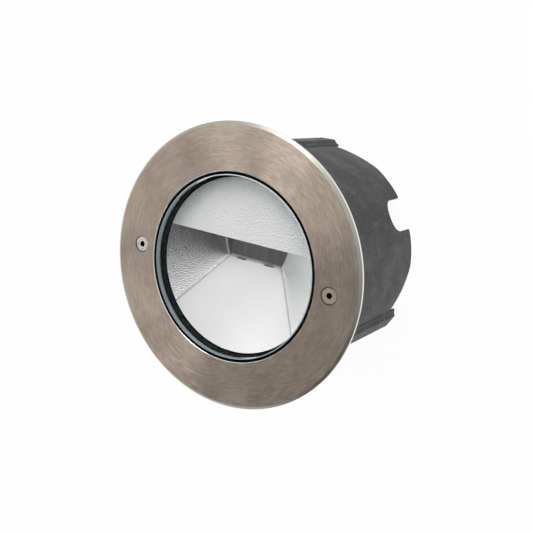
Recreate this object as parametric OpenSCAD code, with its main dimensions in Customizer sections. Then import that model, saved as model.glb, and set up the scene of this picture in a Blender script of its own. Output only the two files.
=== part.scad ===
// Round recessed ground light with an asymmetric reflector, seated in its installation sleeve.
// It stands face up: z = 0 is the open rim of the sleeve and z = total_h is the face.
// The lamp sits behind the baffle on the +Y side and throws its light towards -Y.
// Inside from_face() the third coordinate is the depth below the face.

/* [Overall] */
// Height from the open rim of the sleeve to the face
total_h = 110; // [108:1:130]
// Clearance on radius between pieces that slide together
slip = 0.1; // [0.05:0.05:0.2]
// Clearance round castings and mouldings that drop into each other
drop_gap = 0.5; // [0.3:0.1:0.8]

/* [Cover ring] */
// How far the stainless ring reaches past the sleeve
ring_overhang = 15; // [10:0.5:25]
// Thickness of the ring
ring_t = 3; // [3:0.1:4]
// Width of the bevel round the outer edge
ring_bevel_w = 1.8; // [0.6:0.2:3]
// Height of that bevel
ring_bevel_h = 1.2; // [0.4:0.1:2]
// Broken edge round the opening
ring_edge = 0.3; // [0.1:0.1:0.6]

/* [Cover screws] */
// Room between the housing and the bosses of the two countersunk screws
boss_room = 2; // [1.6:0.1:4]
// Thread diameter
screw_d = 5; // [4:0.5:5]
// Diameter of the countersunk head
screw_head_d = 10; // [9:0.2:10.4]
// Length below the face
screw_l = 20; // [16:1:25]
// Width of the hexagon socket across its flats
screw_socket = 3; // [2.5:0.5:4]
// Depth of the socket
screw_socket_h = 1.8; // [1.2:0.2:2.4]
// How far the heads lie below the face
screw_sink = 0.4; // [0.2:0.1:0.6]

/* [Glass and gasket] */
// Diameter of the toughened glass
glass_d = 116; // [106:1:130]
// Thickness of the glass
glass_t = 8; // [6:0.5:10]
// Ground chamfer round the front of the glass
glass_bevel = 0.6; // [0.3:0.1:1.2]
// Width of the rubber collar between the glass and the ring
collar_w = 1.8; // [1.4:0.1:2.2]
// Depth of the collar's lip below the face
collar_sink = 0.4; // [0.1:0.1:1]
// Height of the rubber seat under the glass
seat_h = 4; // [3:0.5:6]
// How far the seat reaches in under the glass at the reflector
seat_w = 2.2; // [1.6:0.2:4]
// Draft of the seat's inner wall
seat_draft = 1.2; // [0.4:0.2:1.4]
// Width of the gasket's flange under the cover ring
gasket_flange_w = 3; // [2:0.2:3.2]
// Thickness of that flange
gasket_flange_t = 1.4; // [1:0.1:2]

/* [Reflector] */
// Depth from the reflector's front plane to its floor
bowl_depth = 21; // [17:0.5:26]
// Wall of the reflector
bowl_wall = 1.6; // [1.2:0.1:2.2]
// Thickness of its mounting flange
bowl_flange_t = 3; // [2.4:0.2:4]
// Width of the floor at its lower edge
floor_w = 42.8; // [36:0.2:48]
// Place of the floor's lower edge across the axis
floor_y = -0.6; // [-4:0.2:4]
// Width of the floor at its upper edge
floor_top_w = 63; // [56:1:66]
// Height of the floor from its lower to its upper edge
floor_h = 32.6; // [29:0.2:36]
// Lip of the floor round the lamp window
floor_lip = 1.6; // [1.2:0.1:2.4]
// Radius of the pressed corners at the floor
floor_corner = 0.8; // [0.4:0.1:1.6]
// Angle on the rim where the creases of the lower slope end
crease_low = -37; // [-45:1:-30]
// Angle on the rim where the creases of the upper facets end
crease_high = 40; // [34:1:46]
// Angle on the rim where the top facet begins
crease_top = 58; // [54:1:66]

/* [Baffle] */
// Place of the baffle's straight edge above the axis
baffle_y = 16.7; // [12:0.5:20]
// Thickness of the baffle plate
baffle_t = 1.2; // [0.8:0.1:1.6]

/* [Lamp] */
// Thickness of the heat spreader's plate and shelf
spreader_t = 3; // [2:0.5:4]
// Width of the heat spreader's plate
spreader_w = 60; // [58:1:66]
// Reach of its shelf towards the glass
shelf_l = 17.6; // [16:0.4:18.4]
// Room between the shelf and the top of the lamp window
shelf_gap = 1.4; // [0.8:0.2:3]
// Room between the shelf and either side of the lamp window
shelf_side = 3; // [1:0.2:5]
// Width of the two tabs that hook into the reflector
tab_w = 6; // [4:0.5:8]
// Thickness of the tabs
tab_t = 0.9; // [0.6:0.1:1.2]
// Distance between the tabs
tab_pitch = 21.4; // [16:0.2:26]
// Edge of the shelf that stays free on either side of the board
board_margin = 2; // [1:0.5:3]
// Depth of the board
board_l = 13; // [11:0.5:14]
// Thickness of the board
board_t = 1.6; // [1:0.2:2]
// Number of emitters
led_count = 6; // [3:1:7]
// Side of an emitter
led_w = 3.5; // [2.8:0.1:4]
// Height of an emitter's base
led_h = 0.8; // [0.5:0.1:1.2]

/* [Housing] */
// Wall of the cast housing
housing_wall = 3.2; // [2.6:0.2:4]
// Thickness of the top flange
flange_t = 5; // [4:0.5:7]
// Height of the posts between the heat spreader and the bulkhead
post_h = 6; // [4:0.5:9]
// Thickness of the bulkhead
bulkhead_t = 4; // [3:0.5:5]
// Height of the gear compartment
gear_h = 26; // [24:1:28]
// Number of cooling fins
fin_count = 24; // [18:6:30]
// Thickness of a fin
fin_t = 2; // [1.4:0.2:2.6]
// How far the fins stay inside the rear flange
fin_inset = 1; // [0:0.2:3]

/* [Rear cover] */
// Thickness of the rear cover
rear_t = 4; // [3.4:0.2:5]
// Metal outside the heads of its screws
rear_rim = 0.7; // [0.5:0.1:1.5]
// From the axes of its screws to the wall of the gear compartment
rear_land = 2.8; // [2.7:0.1:3.6]
// Number of its screws
rear_count = 6; // [3:3:6]
// Thickness of the housing's rear flange
rear_flange_t = 5; // [4:0.5:7]
// Section of the seal ring
seal_d = 2.5; // [2:0.1:2.8]

/* [Gear] */
// Length of the driver's case
driver_l = 72; // [64:1:76]
// Width of the case
driver_w = 30; // [24:1:31]
// Height of the case
driver_h = 19; // [16:0.5:20]
// Length of the terminal block
block_l = 38; // [36:1:42]
// Width of the block
block_w = 12; // [10:0.5:13]
// Height of the block
block_h = 13; // [11:0.5:15]
// Diameter of the insulated leads
lead_d = 1.8; // [1.4:0.1:2]

/* [Cable gland] */
// Room between the gland's hexagon and the wall, towards the notch on the -Y side
gland_room = 14.8; // [9:0.2:18]
// Thread diameter of the gland
gland_d = 16; // [14:1:18]
// Width of the flats of its hexagons outside the thread
gland_flat = 2; // [1.8:0.1:3]
// Diameter of the cable that it grips
cable_d = 8; // [6:0.5:9]
// Height of the body's hexagon
gland_hex_h = 5; // [4:0.5:6]
// Height of the neck that carries the cap nut
gland_neck_h = 9; // [7:0.5:11]

/* [Sleeve] */
// Wall of the sleeve
sleeve_wall = 3; // [2.6:0.1:3.2]
// Thickness of the ledge that carries the housing
ledge_t = 3; // [2:0.5:5]
// Length of the screw bosses
boss_l = 24; // [20:1:32]
// Width of a rib at its foot
rib_w = 13; // [10:0.5:15]
// Width of a rib at its top
rib_top_w = 10; // [6:0.5:11]
// Height of a rib
rib_h = 3; // [2:0.2:4]
// Length of the sloped end of a rib
rib_end = 1; // [0.5:0.5:6]
// Width of a cable notch
notch_w = 22; // [20:1:28]
// Height of a cable notch
notch_h = 25; // [18:1:27]
// Flat between the round corners of a notch
notch_flat = 1; // [0.5:0.5:8]
// Rounding where a notch meets the rim
notch_lip = 2; // [1:0.5:3]
// Height of the relief that flanks each rib at the rim
relief_h = 9; // [5:0.5:12]

/* [Hidden] */
$fn = 96;

// Overrun of every cut
cut = 1;

// Cover ring, glass and gasket
glass_r = glass_d / 2;
bore_r = glass_r + collar_w;
screw_r = screw_d / 2;
screw_head_r = screw_head_d / 2;
screw_tip = screw_d / 6;
screw_cone_h = screw_head_r - screw_r;
seat_r = glass_r - seat_w;
gasket_r = bore_r + gasket_flange_w;

// Inserts in the sleeve for the cover screws, and the bosses round them
insert_wall = 1;
insert_l = 10;
boss_wall = 1.5;
insert_r = screw_r + insert_wall;
boss_r = insert_r + boss_wall;
boss_gap = drop_gap;
insert_sink = 0.3;
insert_depth = max(ring_t, screw_sink + screw_cone_h) + insert_sink;

// Depths below the face, from the reflector down to the rear cover
rim_depth = glass_t + seat_h;
ledge_depth = rim_depth + bowl_flange_t;
floor_depth = rim_depth + bowl_depth;
plate_gap = 2 * slip;
plate_depth = floor_depth + bowl_wall + plate_gap;
post_depth = plate_depth + spreader_t;
bulkhead_depth = post_depth + post_h;
gear_depth = bulkhead_depth + bulkhead_t;
rear_depth = gear_depth + gear_h;
tail_depth = rear_depth + rear_t;

// Radii of the housing, from the glass outwards
chamber_r = seat_r + bowl_wall + slip;
barrel_r = bore_r + housing_wall;
waist_r = chamber_r + housing_wall;

// Radii of the sleeve and the ring, outside the housing
screw_x = barrel_r + boss_room + boss_r;
sleeve_r = screw_x + boss_r;
sleeve_in_r = sleeve_r - sleeve_wall;
ring_r = sleeve_r + ring_overhang;
flange_r = sleeve_in_r - drop_gap;
ledge_r = barrel_r + 2 * drop_gap;
flange_depth = ring_t + flange_t;

// Metal left in front of a blind hole, and the free depth behind a screw's tip
pilot_floor = 1;
pilot_gap = 1;

// Reflector
floor_x = floor_w / 2 - floor_corner;
floor_top_x = floor_top_w / 2 - floor_corner;
floor_low_y = floor_y + floor_corner;
floor_top_y = floor_y + floor_h - floor_corner;
floor_flare = (floor_top_w - floor_w) / 2 / floor_h;
tab_gap = 3 * slip;
tab_y = floor_y + tab_t / 2;
window_y = floor_y + floor_lip;
window_top_y = floor_y + floor_h - floor_lip;

// Half the width of the lamp window at height y
function window_half(y) = floor_w / 2 - floor_lip + (y - floor_y) * floor_flare;

// Small machine screws: thread, head diameter, head height, socket
m3_d = 3;
m3_head_d = 5.5;
m3_head_h = 1.8;
m3_socket = 2;
m4_d = 4;
m4_head_d = 7;
m4_head_h = 2.4;
m4_socket = 2.5;
screw_edge_share = 0.2;
bulkhead_grip = bulkhead_t - pilot_floor - slip;

// Rear flange and gear compartment, which pass through the sleeve's ledge behind the barrel
rear_r = barrel_r;
rear_screw_r = rear_r - rear_rim - m4_head_d / 2;
gear_r = rear_screw_r - rear_land;
gear_in_r = gear_r - housing_wall;
fin_r = rear_r - fin_inset;

// Heat spreader and board
shelf_y = window_top_y - shelf_gap - spreader_t;
shelf_w = 2 * (window_half(shelf_y) - shelf_side);
board_w = shelf_w - 2 * board_margin;
shelf_depth = post_depth - spreader_t - shelf_l;
board_depth = shelf_depth + led_w / 2;
spreader_screw_x = spreader_w / 4;
spreader_screw_y = shelf_y - 2 * m4_d - m4_head_d / 4;
spreader_screw_l = 8;
post_r = m4_d;
spreader_pilot = spreader_screw_l - spreader_t + pilot_gap;
spreader_low_y = floor_y - floor_lip / 2;
spreader_top_y = shelf_y + 3 * spreader_t;
board_screw_x = board_w / 2 - m3_head_d / 2 - slip;
board_screw_l = board_t + spreader_t - slip;
led_pitch = (board_w - 2 * m3_head_d - led_w) / led_count;
led_dome_share = 0.42;
lead_r = lead_d / 2;
lead_pair = lead_r + slip;
lead_bend = 3 * lead_d;
corner_share = 0.45;
corner_steps = 4;
lead_hole_r = lead_pair + lead_r + 4 * slip;
lead_x = board_w / 2 - 2 * lead_d;
lead_y = shelf_y - board_t - lead_r - slip;

// Gear
driver_y = 2;
driver_foot_l = 6;
driver_foot_w = 10;
driver_foot_t = 2;
driver_round = 2;
driver_screw_x = driver_l / 2 + driver_foot_l / 2;
driver_lid = 0.8;
driver_side = driver_y + driver_w / 2;
driver_mid_depth = gear_depth + driver_h / 2;
block_inset = 14.8;
block_y = -(gear_in_r - block_inset - block_w / 2);
block_poles = 3;
pole_pitch = (block_l - 2 * m3_head_d) / block_poles;
pole_hole_r = lead_r + slip;
pole_screw_d = 4;
pole_screw_h = 1.6;
pole_slot_w = 0.8;
block_step = block_h / 3;
block_screw_x = block_l / 2 - m3_head_d / 2;

// Earth terminal, between the block and the driver, and the row of leads beside it
leads_y = (block_y + block_w / 2 + driver_y - driver_w / 2) / 2;
earth_run = 10;
earth_post_h = 2;
lug_t = 0.8;
lug_r = m4_head_d / 2;
lug_neck = 2;
barrel_l = 4.5;
barrel_wall = 0.5;
earth_x = -(pole_pitch + earth_run + barrel_l + lug_neck + lug_r);
earth_y = leads_y;
earth_depth = gear_depth + earth_post_h;

// Rear cover, seal and gland
seal_edge = 0.6;
seal_r = gear_in_r + seal_edge + seal_d / 2;
spigot_h = 2;
spigot_wall = 3;
rear_screw_l = 10;
rear_boss_h = 7;
rear_edge = 0.8;
rear_boss_r = m4_d + slip;
washer_t = 1.2;
gland_wall = 1.8;
gland_r = gland_d / 2;
gland_hex = gland_d + 2 * gland_flat;
gland_y = -(gear_in_r - gland_room - gland_hex / 2);
gland_neck_r = gland_r - slip;
locknut_t = 3.6;
thread_end = 1;
gland_seal_r = gland_neck_r - gland_wall;
cable_r = cable_d / 2;
cable_gap = 0.6;
gland_mouth_r = cable_r + cable_gap;
gland_depth = tail_depth + washer_t;
gland_seat_depth = gland_depth + gland_hex_h;
gland_nut_gap = 0.6;
gland_seal_proud = 1.5;
gland_seal_h = gland_neck_h + gland_seal_proud;
gland_dome_h = 4;

// Sleeve
rib_count = 3;
rib_foot_w = 1.5;
rib_foot_h = 0.7;
rib_sink = sleeve_wall / 2;
notch_r = (notch_w - notch_flat) / 2;
relief_rise = relief_h / 4;
relief_reach = 29;
notch_turn = 30;
rib_turn = 90;

// Straight blend from a to b
function blend(a, b, t) = a + (b - a) * t;

// Angles from a to b in equal steps, without the last
function steps(a, b, n) = [for (i = [0 : n - 1]) a + (b - a) * i / n];

// Draws its children with the third coordinate as the depth below the face
module from_face() {
    translate([0, 0, total_h])
        mirror([0, 0, 1])
            children();
}

// Revolves an outline of [radius, depth] points about the axis
module turned(outline) {
    rotate_extrude()
        polygon(outline);
}

// Copies its children to the +X and the -X side
module both_sides(x) {
    for (side = [-1, 1])
        translate([side * x, 0, 0])
            children();
}

// Hexagonal prism, sized across its flats
module hex_bar(across, h) {
    cylinder(h = h, r = across / 2 / cos(30), $fn = 6);
}

// Pan-head screw: its head stands on z = 0 and its thread runs down to -l
module pan_screw(d, head_d, head_h, socket, l) {
    edge = head_h * screw_edge_share;
    difference() {
        union() {
            translate([0, 0, -l])
                cylinder(h = l, r = d / 2);
            cylinder(h = head_h - edge, r = head_d / 2);
            translate([0, 0, head_h - edge])
                cylinder(h = edge, r1 = head_d / 2, r2 = head_d / 2 - edge);
        }
        translate([0, 0, head_h / 2])
            hex_bar(socket, head_h);
    }
}

function unit(v) = v / norm(v);

// Point at t on the curve that rounds the corner b between a and c
function corner_point(a, b, c, t) = (1 - t) * (1 - t) * a + 2 * t * (1 - t) * b + t * t * c;

// Straight runs through the points, with every corner cut back by up to bend and rounded
function route(p, bend) = let (k = len(p) - 1) [
    p[0],
    for (i = [1 : k - 1])
        let (before = p[i - 1] - p[i], after = p[i + 1] - p[i])
        let (reach = min(bend, norm(before) * corner_share, norm(after) * corner_share))
        for (j = [0 : corner_steps])
            corner_point(p[i] + reach * unit(before), p[i], p[i] + reach * unit(after), j / corner_steps),
    p[k]
];

// Round lead along a route: every ring stands square to the route
module lead(points, r, steady) {
    sides = 8;
    p = route(points, lead_bend);
    k = len(p) - 1;
    rings = [
        for (i = [0 : k])
            let (run = unit(p[min(i + 1, k)] - p[max(i - 1, 0)]))
            let (u = unit(cross(run, steady)))
            let (v = cross(run, u))
            for (s = [0 : sides - 1])
                p[i] + r * (cos(360 * s / sides) * u + sin(360 * s / sides) * v)
    ];
    skin = [
        for (i = [0 : k - 1])
            for (s = [0 : sides - 1])
                let (a = i * sides + s, b = i * sides + (s + 1) % sides)
                each [[a, b + sides, b], [a, a + sides, b + sides]]
    ];
    ends = [
        [for (s = [0 : sides - 1]) s],
        [for (s = [sides - 1 : -1 : 0]) k * sides + s]
    ];
    polyhedron(points = rings, faces = concat(skin, ends), convexity = 6);
}

// Stainless ring, with its two countersunk holes
module cover_ring() {
    csk_r = screw_head_r + screw_sink;
    hole_r = screw_r + 2 * slip;
    color("tan")
        from_face()
            difference() {
                turned([
                    [bore_r, ring_edge], [bore_r + ring_edge, 0], [ring_r - ring_bevel_w, 0],
                    [ring_r, ring_bevel_h], [ring_r, ring_t], [bore_r, ring_t]
                ]);
                both_sides(screw_x) {
                    translate([0, 0, -cut])
                        cylinder(h = ring_t + 2 * cut, r = hole_r);
                    translate([0, 0, -cut])
                        cylinder(h = csk_r + cut, r1 = csk_r + cut, r2 = 0);
                }
            }
}

// Countersunk screws with hexagon sockets
module cover_screws() {
    tip_r = screw_r - screw_tip;
    color("silver")
        from_face()
            both_sides(screw_x)
                difference() {
                    turned([
                        [0, screw_sink], [screw_head_r - slip, screw_sink],
                        [screw_r - slip / 2, screw_sink + screw_cone_h], [screw_r - slip / 2, screw_l - screw_tip],
                        [tip_r, screw_l], [0, screw_l]
                    ]);
                    translate([0, 0, screw_sink - cut])
                        hex_bar(screw_socket, screw_socket_h + cut);
                }
}

// Toughened glass disc, flush with the ring
module glass_lens() {
    back_bevel = glass_bevel / 2;
    color("lightcyan", 0.35)
        from_face()
            turned([
                [0, 0], [glass_r - glass_bevel, 0], [glass_r, glass_bevel],
                [glass_r, glass_t - back_bevel], [glass_r - back_bevel, glass_t], [0, glass_t]
            ]);
}

// Silicone gasket: a collar round the glass, a seat under it and a flange under the ring
module glass_gasket() {
    collar_r = bore_r - slip;
    color([0.06, 0.06, 0.06])
        from_face()
            turned([
                [glass_r + slip, collar_sink], [collar_r, collar_sink], [collar_r, ring_t],
                [gasket_r, ring_t], [gasket_r, ring_t + gasket_flange_t],
                [collar_r, ring_t + gasket_flange_t], [collar_r, rim_depth], [seat_r, rim_depth],
                [seat_r + seat_draft, glass_t], [glass_r + slip, glass_t]
            ]);
}

// Half-round plate that hides the lamp, with a straight lower edge
module baffle_plate() {
    plate_r = bore_r - 4 * slip;
    color([0.8, 0.8, 0.79])
        from_face()
            translate([0, 0, rim_depth])
                intersection() {
                    cylinder(h = baffle_t, r = plate_r);
                    translate([-plate_r, baffle_y, 0])
                        cube([2 * plate_r, plate_r, baffle_t]);
                }
}

// Floor outline point that belongs to rim angle a, on the +X side
function floor_point(a) =
    a < crease_low ? [blend(0, floor_x, (a + 90) / (crease_low + 90)), floor_low_y] :
    a < crease_high ? [floor_x, floor_low_y] :
    a < crease_top ? [
        blend(floor_x, floor_top_x, (a - crease_high) / (crease_top - crease_high)),
        blend(floor_low_y, floor_top_y, (a - crease_high) / (crease_top - crease_high))
    ] :
    [blend(floor_top_x, 0, (a - crease_top) / (90 - crease_top)), floor_top_y];

// Rim angles on the +X side, with one at every crease
bowl_angles = concat(
    steps(-90, crease_low, 22), steps(crease_low, crease_high, 32),
    steps(crease_high, crease_top, 8), steps(crease_top, 90, 12), [90]
);

// Ruled funnel from the round rim to the floor, grown outwards by skin
module bowl_body(skin, front, back) {
    n = len(bowl_angles);
    right_rim = [for (a = bowl_angles) (seat_r + skin) * [cos(a), sin(a)]];
    right_floor = [for (a = bowl_angles) floor_point(a) + (floor_corner + skin) * [cos(a), sin(a)]];
    rim = concat(right_rim, [for (i = [n - 2 : -1 : 1]) [-right_rim[i].x, right_rim[i].y]]);
    floor_line = concat(right_floor, [for (i = [n - 2 : -1 : 1]) [-right_floor[i].x, right_floor[i].y]]);
    k = len(rim);
    points = concat([for (p = rim) [p.x, p.y, front]], [for (p = floor_line) [p.x, p.y, back]]);
    skin_faces = [
        for (i = [0 : k - 1])
            let (j = (i + 1) % k)
            each [[i, k + j, j], [i, k + i, k + j]]
    ];
    rim_face = [for (i = [0 : k - 1]) i];
    floor_face = [for (i = [k - 1 : -1 : 0]) k + i];
    polyhedron(points = points, faces = concat([rim_face, floor_face], skin_faces), convexity = 4);
}

// Window in the floor, which flares as the floor does
module lamp_window(h) {
    low_x = window_half(window_y);
    top_x = window_half(window_top_y);
    linear_extrude(height = h)
        polygon([
            [-low_x, window_y], [low_x, window_y], [top_x, window_top_y], [-top_x, window_top_y]
        ]);
}

// Hammered reflector: mounting flange, ruled funnel and lamp window
module reflector_bowl() {
    flange_out_r = bore_r - 3 * slip;
    color([0.82, 0.82, 0.82])
        from_face()
            difference() {
                union() {
                    translate([0, 0, rim_depth])
                        cylinder(h = bowl_flange_t, r = flange_out_r);
                    bowl_body(bowl_wall, rim_depth, floor_depth + bowl_wall);
                }
                bowl_body(0, rim_depth, floor_depth);
                translate([-bore_r, baffle_y - slip, rim_depth - cut])
                    cube([2 * bore_r, bore_r, baffle_t + cut]);
                translate([0, 0, floor_depth - cut])
                    lamp_window(bowl_wall + 2 * cut);
                both_sides(tab_pitch / 2)
                    translate([-tab_w / 2 - tab_gap, tab_y - tab_t / 2 - tab_gap, floor_depth - cut])
                        cube([tab_w + 2 * tab_gap, tab_t + 2 * tab_gap, bowl_wall + 2 * cut]);
            }
}

// Folded aluminium plate that carries the light source board under its shelf
module heat_spreader() {
    shelf_end = plate_depth + spreader_t;
    color([0.42, 0.42, 0.43])
        from_face()
            difference() {
                union() {
                    translate([-spreader_w / 2, spreader_low_y, plate_depth])
                        cube([spreader_w, spreader_top_y - spreader_low_y, spreader_t]);
                    translate([-shelf_w / 2, shelf_y, shelf_depth])
                        cube([shelf_w, spreader_t, shelf_end - shelf_depth]);
                    both_sides(tab_pitch / 2)
                        translate([-tab_w / 2, tab_y - tab_t / 2, floor_depth])
                            cube([tab_w, tab_t, shelf_end - floor_depth]);
                }
                both_sides(spreader_screw_x)
                    translate([0, spreader_screw_y, plate_depth - cut])
                        cylinder(h = spreader_t + 2 * cut, r = m4_d / 2 + slip);
                translate([lead_x, lead_y, plate_depth - cut])
                    cylinder(h = spreader_t + 2 * cut, r = lead_hole_r);
                both_sides(board_screw_x)
                    translate([0, shelf_y - cut, board_depth + board_l / 2])
                        rotate([-90, 0, 0])
                            cylinder(h = spreader_t + 2 * cut, r = m3_d / 2 + slip / 2);
            }
}

// Screws that clamp the heat spreader to the housing
module spreader_screws() {
    color("silver")
        both_sides(spreader_screw_x)
            translate([0, spreader_screw_y, total_h - plate_depth])
                pan_screw(m4_d, m4_head_d, m4_head_h, m4_socket, spreader_screw_l);
}

// Metal-core board under the shelf
module led_board() {
    color("white")
        from_face()
            difference() {
                translate([-board_w / 2, shelf_y - board_t, board_depth])
                    cube([board_w, board_t, board_l]);
                both_sides(board_screw_x)
                    translate([0, shelf_y - board_t - cut, board_depth + board_l / 2])
                        rotate([-90, 0, 0])
                            cylinder(h = board_t + 2 * cut, r = m3_d / 2 + slip);
            }
}

// Row of emitters, each a square base with a round dome
module led_emitters() {
    dome_r = led_w * led_dome_share;
    color("khaki")
        from_face()
            for (i = [0 : led_count - 1])
                translate([(i - (led_count - 1) / 2) * led_pitch, shelf_y - board_t, board_depth + board_l / 2]) {
                    translate([-led_w / 2, -led_h, -led_w / 2])
                        cube([led_w, led_h, led_w]);
                    difference() {
                        translate([0, -led_h, 0])
                            sphere(r = dome_r);
                        translate([-led_w, -led_h / 2, -led_w])
                            cube([2 * led_w, 2 * led_w, 2 * led_w]);
                    }
                }
}

// Screws that hold the board to the shelf
module led_board_screws() {
    color("silver")
        both_sides(board_screw_x)
            translate([0, shelf_y - board_t, total_h - board_depth - board_l / 2])
                rotate([90, 0, 0])
                    pan_screw(m3_d, m3_head_d, m3_head_h, m3_socket, board_screw_l);
}

// Two leads from the board, through the spreader and the bulkhead, to the driver's side
module led_leads() {
    start_depth = board_depth + board_l - 3 * lead_r;
    color("crimson")
        from_face()
            for (x = [lead_x - lead_pair, lead_x + lead_pair])
                lead([
                    [x, lead_y, start_depth],
                    [x, lead_y, driver_mid_depth],
                    [x, driver_side + slip, driver_mid_depth]
                ], lead_r, [1, 0, 0]);
}

// Cast housing: lamp chamber in front, gear compartment behind the bulkhead
module lamp_housing() {
    shoulder = housing_wall;
    recess_r = gasket_r + slip;
    boss_slot = 2 * (boss_r + boss_gap);
    color([0.3, 0.31, 0.32])
        from_face()
            difference() {
                union() {
                    turned([
                        [bore_r, ring_t + gasket_flange_t], [recess_r, ring_t + gasket_flange_t],
                        [recess_r, ring_t], [flange_r, ring_t], [flange_r, flange_depth],
                        [barrel_r, flange_depth], [barrel_r, ledge_depth + shoulder],
                        [waist_r, ledge_depth + 2 * shoulder], [waist_r, bulkhead_depth],
                        [gear_r, gear_depth], [gear_r, rear_depth - rear_flange_t],
                        [rear_r, rear_depth - rear_flange_t], [rear_r, rear_depth],
                        [gear_in_r, rear_depth], [gear_in_r, gear_depth], [0, gear_depth],
                        [0, bulkhead_depth], [chamber_r, bulkhead_depth],
                        [chamber_r, ledge_depth], [bore_r, ledge_depth]
                    ]);
                    cooling_fins();
                    for (i = [0 : rear_count - 1])
                        rotate([0, 0, 360 * i / rear_count])
                            translate([rear_screw_r, 0, rear_depth - rear_flange_t - rear_boss_h])
                                cylinder(h = rear_flange_t + rear_boss_h, r = rear_boss_r);
                    both_sides(spreader_screw_x)
                        translate([0, spreader_screw_y, post_depth])
                            cylinder(h = post_h + bulkhead_t / 2, r = post_r);
                    translate([earth_x, earth_y, gear_depth - bulkhead_t / 2])
                        cylinder(h = earth_post_h + bulkhead_t / 2, r = lug_r);
                }
                both_sides(screw_x)
                    translate([0, 0, ring_t - cut])
                        cylinder(h = flange_t + 2 * cut, r = boss_slot / 2);
                both_sides(screw_x + flange_r / 2)
                    translate([-flange_r / 2, -boss_slot / 2, ring_t - cut])
                        cube([flange_r, boss_slot, flange_t + 2 * cut]);
                both_sides(spreader_screw_x)
                    translate([0, spreader_screw_y, post_depth - cut])
                        cylinder(h = spreader_pilot + cut, r = m4_d / 2 + slip / 2);
                translate([lead_x, lead_y, bulkhead_depth - cut])
                    cylinder(h = bulkhead_t + 2 * cut, r = lead_hole_r);
                bulkhead_pilot(driver_screw_x, driver_y, m3_d, 0);
                bulkhead_pilot(-driver_screw_x, driver_y, m3_d, 0);
                bulkhead_pilot(block_screw_x, block_y, m3_d, 0);
                bulkhead_pilot(-block_screw_x, block_y, m3_d, 0);
                bulkhead_pilot(earth_x, earth_y, m4_d, earth_post_h);
                for (i = [0 : rear_count - 1])
                    rotate([0, 0, 360 * i / rear_count])
                        translate([rear_screw_r, 0, rear_depth - rear_screw_l - pilot_gap])
                            cylinder(h = rear_screw_l + pilot_gap + cut, r = m4_d / 2 + slip / 2);
            }
}

// Blind hole in the bulkhead, from the gear compartment, through a pad of height pad_h
module bulkhead_pilot(x, y, d, pad_h) {
    translate([x, y, bulkhead_depth + pilot_floor])
        cylinder(h = bulkhead_t - pilot_floor + pad_h + cut, r = d / 2 + slip / 2);
}

// Radial fins round the gear compartment, left out where the screw bosses stand
module cooling_fins() {
    fin_root = housing_wall / 2;
    fin_top = gear_depth - bulkhead_t / 2;
    for (i = [0 : fin_count - 1])
        if ((i * rear_count) % fin_count != 0)
            rotate([0, 0, 360 * i / fin_count])
                translate([gear_r - fin_root, -fin_t / 2, fin_top])
                    cube([fin_r - gear_r + fin_root, fin_t, rear_depth - rear_flange_t - fin_top + fin_root]);
}

// Potted driver with a foot at each end
module driver_module() {
    foot_x = driver_l / 2 + driver_foot_l;
    color([0.86, 0.86, 0.84])
        from_face()
            translate([0, driver_y, gear_depth])
                difference() {
                    union() {
                        linear_extrude(height = driver_h - driver_lid)
                            rounded_plate(driver_l, driver_w, driver_round);
                        translate([0, 0, driver_h - driver_lid])
                            linear_extrude(height = driver_lid)
                                rounded_plate(driver_l - driver_round, driver_w - driver_round, driver_round / 2);
                        translate([-foot_x, -driver_foot_w / 2, 0])
                            cube([2 * foot_x, driver_foot_w, driver_foot_t]);
                    }
                    both_sides(driver_screw_x)
                        translate([0, 0, -cut])
                            cylinder(h = driver_foot_t + 2 * cut, r = m3_d / 2 + slip);
                }
}

// Rectangle with round corners, centred
module rounded_plate(l, w, r) {
    square([l - 2 * r, w], center = true);
    square([l, w - 2 * r], center = true);
    for (x = [-1, 1], y = [-1, 1])
        translate([x * (l / 2 - r), y * (w / 2 - r)])
            circle(r = r);
}

// Screws through the driver's feet
module driver_screws() {
    color("silver")
        from_face()
            both_sides(driver_screw_x)
                translate([0, driver_y, gear_depth + driver_foot_t])
                    pan_screw(m3_d, m3_head_d, m3_head_h, m3_socket, driver_foot_t + bulkhead_grip);
}

// Leads from the terminal block to the driver
module mains_leads() {
    block_face = block_y + block_w / 2;
    driver_face = driver_y - driver_w / 2;
    color("saddlebrown")
        from_face()
            for (x = [0, pole_pitch])
                lead([
                    [x, block_face - block_w / 4, gear_depth + block_step],
                    [x, leads_y, gear_depth + block_step],
                    [x, leads_y, driver_mid_depth],
                    [x, driver_face - slip, driver_mid_depth]
                ], lead_r, [1, 0, 0]);
}

// Three-pole terminal block with a step for its screws
module terminal_block() {
    color("ivory")
        from_face()
            translate([0, block_y, gear_depth])
                difference() {
                    union() {
                        translate([-block_l / 2, -block_w / 2, 0])
                            cube([block_l, block_w, block_h - block_step]);
                        for (i = [0 : block_poles - 1])
                            translate([(i - (block_poles - 1) / 2) * pole_pitch, 0, 0])
                                cylinder(h = block_h, r = pole_pitch / 2 - slip);
                    }
                    for (i = [0 : block_poles - 1])
                        translate([(i - (block_poles - 1) / 2) * pole_pitch, 0, 0]) {
                            translate([0, -block_w, block_step])
                                rotate([-90, 0, 0])
                                    cylinder(h = 2 * block_w, r = pole_hole_r);
                            translate([0, 0, block_h - pole_screw_h])
                                cylinder(h = pole_screw_h + cut, r = pole_screw_d / 2 + slip);
                        }
                    both_sides(block_screw_x)
                        translate([0, 0, -cut])
                            cylinder(h = block_h, r = m3_d / 2 + slip);
                }
}

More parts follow.
